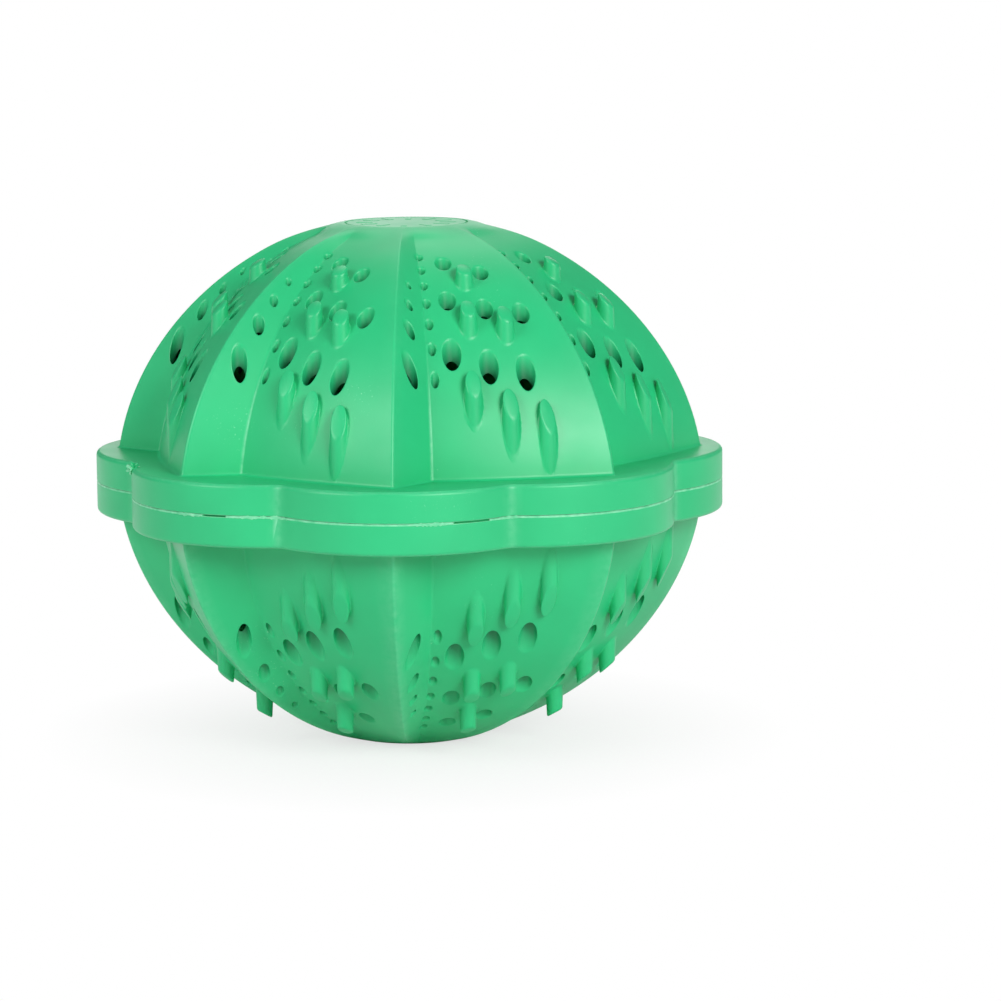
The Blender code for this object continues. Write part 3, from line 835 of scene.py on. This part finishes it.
def shade_bores(mesh):
    """Note on each corner how dark its depth inside a hole makes it, from 0 at the wall's face."""
    holes = [(place, diameter) for sector in range(SECTORS) for place, diameter in hole_places(sector)]
    tree = KDTree(len(holes))
    for index, (place, diameter) in enumerate(holes):
        tree.insert(place.to_3d(), index)
    tree.balance()
    depth = mesh.attributes.new("painted_bore_shade", "FLOAT", "CORNER")
    for face in mesh.polygons:
        if abs(face.normal.z) > BORE_LEVELNESS:
            continue
        near, index, away = tree.find((face.center.x, face.center.y, 0))
        if away > holes[index][1] / 2:
            continue
        for loop in face.loop_indices:
            place = mesh.vertices[mesh.loops[loop].vertex_index].co
            under = wall_height(place.x, place.y) - abs(place.z - SEAM_HEIGHT)
            most = 1.0 if place.z > SEAM_HEIGHT else LOWER_BORE_SHADE
            depth.data[loop].value = most * smooth_share(under, BORE_SHADE_START, BORE_SHADE_END)


def add_piece(name, mesh, material, body):
    """Link a finished mesh as a piece that rides on a body."""
    mesh.materials.clear()
    mesh.materials.append(material)
    mesh.shade_smooth()
    mesh.set_sharp_from_angle(angle=SHARP_ANGLE)
    piece = bpy.data.objects.new(name, mesh)
    bpy.context.scene.collection.objects.link(piece)
    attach(piece, body)
    return piece


def new_material(name):
    """Material with its node tree, its links and its Principled shader."""
    material = bpy.data.materials.new(name)
    material.use_nodes = True
    tree = material.node_tree
    return material, tree.nodes, tree.links, tree.nodes["Principled BSDF"]


def noise_node(nodes, links, coords, scale, detail):
    """Value of a noise texture on the piece's own coordinates."""
    texture = nodes.new("ShaderNodeTexNoise")
    texture.inputs["Scale"].default_value = scale
    texture.inputs["Detail"].default_value = detail
    links.new(coords, texture.inputs["Vector"])
    return texture.outputs["Fac"]


def attribute_node(nodes, name):
    """Value that a mesh attribute holds."""
    attribute = nodes.new("ShaderNodeAttribute")
    attribute.attribute_name = name
    return attribute.outputs["Fac"]


def math_node(nodes, links, operation, first, second):
    """Result of an operation on two values."""
    result = nodes.new("ShaderNodeMath")
    result.operation = operation
    links.new(first, result.inputs[0])
    links.new(second, result.inputs[1])
    return result.outputs[0]


def add_bump(nodes, links, shader, height, strength, distance):
    """Roughen a shader's surface by a height."""
    bump = nodes.new("ShaderNodeBump")
    bump.inputs["Strength"].default_value = strength
    bump.inputs["Distance"].default_value = distance
    links.new(height, bump.inputs["Height"])
    links.new(bump.outputs["Normal"], shader.inputs["Normal"])


def ramp_node(nodes, links, source, low, high):
    """Map a value from low to high onto 0 to 1."""
    ramp = nodes.new("ShaderNodeMapRange")
    ramp.inputs["From Min"].default_value = low
    ramp.inputs["From Max"].default_value = high
    links.new(source, ramp.inputs["Value"])
    return ramp.outputs["Result"]


def pattern_node(nodes, links, coords, texture, values):
    """Share, from 0 to 1, that a noise has between two of its values."""
    return ramp_node(nodes, links, noise_node(nodes, links, coords, *texture), *values)


def mix_node(nodes, links, factor, first, second):
    """Mix two colours by a factor."""
    mix = nodes.new("ShaderNodeMix")
    mix.data_type = "RGBA"
    links.new(factor, mix.inputs["Factor"])
    for socket, value in ((mix.inputs["A"], first), (mix.inputs["B"], second)):
        if isinstance(value, bpy.types.NodeSocket):
            links.new(value, socket)
        else:
            socket.default_value = (*value, 1.0)
    return mix.outputs["Result"]


def plastic_material(settings):
    """Satin moulded plastic with faint mottling, scuffs, an uneven sheen, painted highlights along its edges
    and painted shade inside the holes.
    """
    material, nodes, links, shader = new_material("green_plastic")
    coords = nodes.new("ShaderNodeTexCoord").outputs["Object"]
    colour = Vector(settings.colour)
    mottle = pattern_node(nodes, links, coords, MOTTLE_NOISE, MOTTLE_RANGE)
    darker, lighter = MOTTLE_SHADES
    base = mix_node(nodes, links, mottle, colour * darker, colour * lighter)
    broken = pattern_node(nodes, links, coords, PALE_BREAK_NOISE, PALE_BREAK_RANGE)
    # pale flash and seam line, and painted highlights along edges, broken up by noise
    lines = math_node(nodes, links, "MULTIPLY", attribute_node(nodes, "pale"), broken)
    base = mix_node(nodes, links, lines, base, settings.pale)
    speck = pattern_node(nodes, links, coords, SPECK_NOISE, SPECK_RANGE)
    patch = pattern_node(nodes, links, coords, SPECK_PATCH_NOISE, SPECK_PATCH_RANGE)
    specks = math_node(nodes, links, "MULTIPLY", speck, patch)
    base = mix_node(nodes, links, specks, base, settings.pale)
    # painted shade inside the holes, darker with depth
    base = mix_node(nodes, links, attribute_node(nodes, "painted_bore_shade"), base, colour * BORE_COLOUR_LEFT)
    links.new(base, shader.inputs["Base Color"])
    glossier, duller = SHEEN_SPREAD
    rough = nodes.new("ShaderNodeMapRange")
    rough.inputs["To Min"].default_value = settings.roughness + glossier
    rough.inputs["To Max"].default_value = settings.roughness + duller
    links.new(noise_node(nodes, links, coords, *SHEEN_NOISE), rough.inputs["Value"])
    links.new(rough.outputs["Result"], shader.inputs["Roughness"])
    grain = noise_node(nodes, links, coords, *GRAIN_NOISE)
    add_bump(nodes, links, shader, grain, GRAIN_STRENGTH, GRAIN_DEPTH)
    shader.inputs["IOR"].default_value = PLASTIC_IOR
    return material


def clay_material(name, colour):
    """Unglazed fired clay, speckled and slightly rough."""
    material, nodes, links, shader = new_material(name)
    coords = nodes.new("ShaderNodeTexCoord").outputs["Object"]
    colour = Vector(colour)
    mottle = pattern_node(nodes, links, coords, CLAY_MOTTLE_NOISE, CLAY_MOTTLE_RANGE)
    darker, lighter = CLAY_MOTTLE_SHADES
    base = mix_node(nodes, links, mottle, colour * darker, colour * lighter)
    speck = noise_node(nodes, links, coords, *CLAY_SPECK_NOISE)
    specks = ramp_node(nodes, links, speck, *CLAY_SPECK_RANGE)
    base = mix_node(nodes, links, specks, base, colour * CLAY_SPECK_SHADE)
    links.new(base, shader.inputs["Base Color"])
    shader.inputs["Roughness"].default_value = CLAY_ROUGHNESS
    add_bump(nodes, links, shader, speck, CLAY_BUMP_STRENGTH, CLAY_BUMP_DEPTH)
    return material


class LAUNDRYBALL_OT_stage(bpy.types.Operator):
    """Make the floor, the backdrop, the lamps and the camera"""

    bl_idname = "laundryball.stage"
    bl_label = "Stage"

    def execute(self, context):
        settings = context.scene.laundry_ball_stage
        make_floor()
        make_world(context.scene)
        for lamp in LAMPS:
            make_lamp(context.scene, *lamp)
        context.scene.camera = make_camera(context.scene, settings)
        context.scene.view_settings.view_transform = "Standard"
        return {"FINISHED"}


def outlook(turn, height):
    """Direction from the ball at a turn from the front ridge and a height over the parting plane."""
    return Vector((math.sin(turn) * math.cos(height), -math.cos(turn) * math.cos(height), math.sin(height)))


def make_lamp(scene, name, turn, height, distance, size, power):
    """Large soft round lamp, aimed at the ball and not seen itself."""
    lamp = bpy.data.lights.new(name, "AREA")
    lamp.shape = "DISK"
    lamp.size = size
    lamp.energy = power
    obj = bpy.data.objects.new(name, lamp)
    out = outlook(turn, height)
    obj.location = Vector((0, 0, SEAM_HEIGHT)) + out * distance
    obj.rotation_euler = (-out).to_track_quat("-Z", "Y").to_euler()
    obj.visible_camera = False
    scene.collection.objects.link(obj)


def make_floor():
    """Wide white floor that fades into the white surroundings."""
    bm = bmesh.new()
    bmesh.ops.create_circle(bm, cap_ends=True, segments=FLOOR_SIDES, radius=FLOOR_RADIUS)
    mesh = new_mesh(bm, "floor")
    material = bpy.data.materials.new("white_floor")
    material.use_nodes = True
    nodes, links = material.node_tree.nodes, material.node_tree.links
    nodes.clear()
    output = nodes.new("ShaderNodeOutputMaterial")
    matt = nodes.new("ShaderNodeBsdfDiffuse")
    matt.inputs["Color"].default_value = FLOOR_COLOUR
    glow = nodes.new("ShaderNodeEmission")
    glow.inputs["Color"].default_value = WHITE
    coords = nodes.new("ShaderNodeTexCoord")
    length = nodes.new("ShaderNodeVectorMath")
    length.operation = "LENGTH"
    links.new(coords.outputs["Object"], length.inputs[0])
    path = nodes.new("ShaderNodeLightPath").outputs
    seen = ramp_node(nodes, links, length.outputs["Value"], *FLOOR_SEEN_WHITE)
    seen = math_node(nodes, links, "MULTIPLY", seen, path["Is Camera Ray"])
    reflected = ramp_node(nodes, links, length.outputs["Value"], *FLOOR_REFLECTED_WHITE)
    reflected = math_node(nodes, links, "MULTIPLY", reflected, path["Is Glossy Ray"])
    mix = nodes.new("ShaderNodeMixShader")
    links.new(math_node(nodes, links, "MAXIMUM", seen, reflected), mix.inputs["Fac"])
    links.new(matt.outputs["BSDF"], mix.inputs[1])
    links.new(glow.outputs["Emission"], mix.inputs[2])
    links.new(mix.outputs["Shader"], output.inputs["Surface"])
    mesh.materials.append(material)
    floor = bpy.data.objects.new("floor", mesh)
    bpy.context.scene.collection.objects.link(floor)


def make_world(scene):
    """Even white surroundings, plain white to the camera."""
    world = bpy.data.worlds.new("white_room")
    world.use_nodes = True
    nodes, links = world.node_tree.nodes, world.node_tree.links
    light = nodes["Background"]
    light.inputs["Color"].default_value = WHITE
    light.inputs["Strength"].default_value = WORLD_LIGHT
    seen = nodes.new("ShaderNodeBackground")
    seen.inputs["Color"].default_value = WHITE
    path = nodes.new("ShaderNodeLightPath")
    mix = nodes.new("ShaderNodeMixShader")
    links.new(path.outputs["Is Camera Ray"], mix.inputs["Fac"])
    links.new(light.outputs["Background"], mix.inputs[1])
    links.new(seen.outputs["Background"], mix.inputs[2])
    links.new(mix.outputs["Shader"], nodes["World Output"].inputs["Surface"])
    scene.world = world


def make_camera(scene, settings):
    """Camera at the photograph's angle, with the ball left of the middle as there."""
    camera = bpy.data.cameras.new("camera")
    camera.sensor_width = SENSOR_WIDTH
    camera.lens = settings.lens
    camera.shift_x = (IMAGE_SIDE / 2 - BALL_COLUMN) / IMAGE_SIDE
    camera.shift_y = (BALL_ROW - IMAGE_SIDE / 2) / IMAGE_SIDE
    camera.clip_start = CAMERA_NEAR
    obj = bpy.data.objects.new("camera", camera)
    aim = Vector((0, 0, SEAM_HEIGHT))
    back = outlook(settings.turn, settings.height)
    obj.location = aim + back * settings.distance
    turned = (-back).to_track_quat("-Z", "Y").to_matrix() @ Matrix.Rotation(settings.roll, 3, "Z")
    obj.rotation_euler = turned.to_euler()
    scene.collection.objects.link(obj)
    return obj


class LAUNDRYBALL_OT_shells(bpy.types.Operator):
    """Make the two perforated half shells"""

    bl_idname = "laundryball.shells"
    bl_label = "Half shells"

    def execute(self, context):
        settings = context.scene.laundry_ball_shell
        material = plastic_material(settings)
        for node, side in (("upper_shell", 1), ("lower_shell", -1)):
            name = f"{node}_moulding"
            mesh = shell_mesh(name, side, settings.flash_ease)
            # pale flash and seam line, and painted highlights along ridges, valleys, rim and creases
            pale = mesh.attributes.new("pale", "FLOAT", "POINT")
            pale.data.foreach_set("value", [edge_paleness(vert.co) for vert in mesh.vertices])
            shade_bores(mesh)
            piece = add_piece(name, mesh, material, node)
            soften = piece.modifiers.new("even_shading", "WEIGHTED_NORMAL")
            soften.keep_sharp = True
            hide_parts(node)
        return {"FINISHED"}


class LAUNDRYBALL_OT_beads(bpy.types.Operator):
    """Make the ceramic beads"""

    bl_idname = "laundryball.beads"
    bl_label = "Ceramic beads"

    def execute(self, context):
        settings = context.scene.laundry_ball_beads
        colours = {entry["slot"]: entry["base_color"][:3] for entry in frame["record"]["materials"]}
        materials = {}
        for row in frame["record"]["subparts"]:
            slot = row["material_slot"]
            if not slot.startswith("bead_"):
                continue
            if slot not in materials:
                materials[slot] = clay_material(f"{slot}_clay", colours[slot])
            self.make_bead(row["node"], slot, materials[slot], settings)
        return {"FINISHED"}

    def make_bead(self, node, slot, material, settings):
        """Make one uneven bead in the place of its solid."""
        low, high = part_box(node)
        radius = (high.z - low.z) / 2
        centre = Vector(((low.x + high.x) / 2, (low.y + high.y) / 2, (low.z + high.z) / 2))
        bm = bmesh.new()
        bmesh.ops.create_icosphere(bm, subdivisions=settings.detail, radius=radius - settings.lumps)
        for vert in bm.verts:
            out = vert.co.normalized()
            vert.co += out * settings.lumps * noise.noise(out * BEAD_LUMP_WAVE + centre / radius)
        bmesh.ops.translate(bm, vec=centre, verts=bm.verts)
        piece = add_piece(f"{node}_ceramic", new_mesh(bm, node), material, "bead_fill")
        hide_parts(node)


class LAUNDRYBALL_PT_panel(bpy.types.Panel):
    """Settings and steps of the laundry ball"""

    bl_idname = "LAUNDRYBALL_PT_panel"
    bl_label = "Laundry Ball"
    bl_space_type = "VIEW_3D"
    bl_region_type = "UI"
    bl_category = "Laundry Ball"

    def draw(self, context):
        for step in STEPS:
            self.layout.operator(step.bl_idname)
        for group in GROUPS:
            box = self.layout.box()
            settings = getattr(context.scene, group)
            for key in GROUPS[group].__annotations__:
                box.prop(settings, key)


GROUPS = {
    "laundry_ball_shell": LaundryBallShellSettings,
    "laundry_ball_beads": LaundryBallBeadSettings,
    "laundry_ball_stage": LaundryBallStageSettings,
}
STEPS = (LAUNDRYBALL_OT_stage, LAUNDRYBALL_OT_shells, LAUNDRYBALL_OT_beads)


def register():
    """Register the classes and give the scene its settings."""
    for item in (*GROUPS.values(), *STEPS, LAUNDRYBALL_PT_panel):
        bpy.utils.register_class(item)
    for name, group in GROUPS.items():
        setattr(bpy.types.Scene, name, PointerProperty(type=group))


def unregister():
    """Take the scene's settings and the classes away again."""
    for name in GROUPS:
        delattr(bpy.types.Scene, name)
    for item in reversed((*GROUPS.values(), *STEPS, LAUNDRYBALL_PT_panel)):
        bpy.utils.unregister_class(item)


def main():
    """Make everything in order."""
    register()
    bpy.ops.laundryball.stage()
    bpy.ops.laundryball.shells()
    bpy.ops.laundryball.beads()


if __name__ == "__main__":
    main()
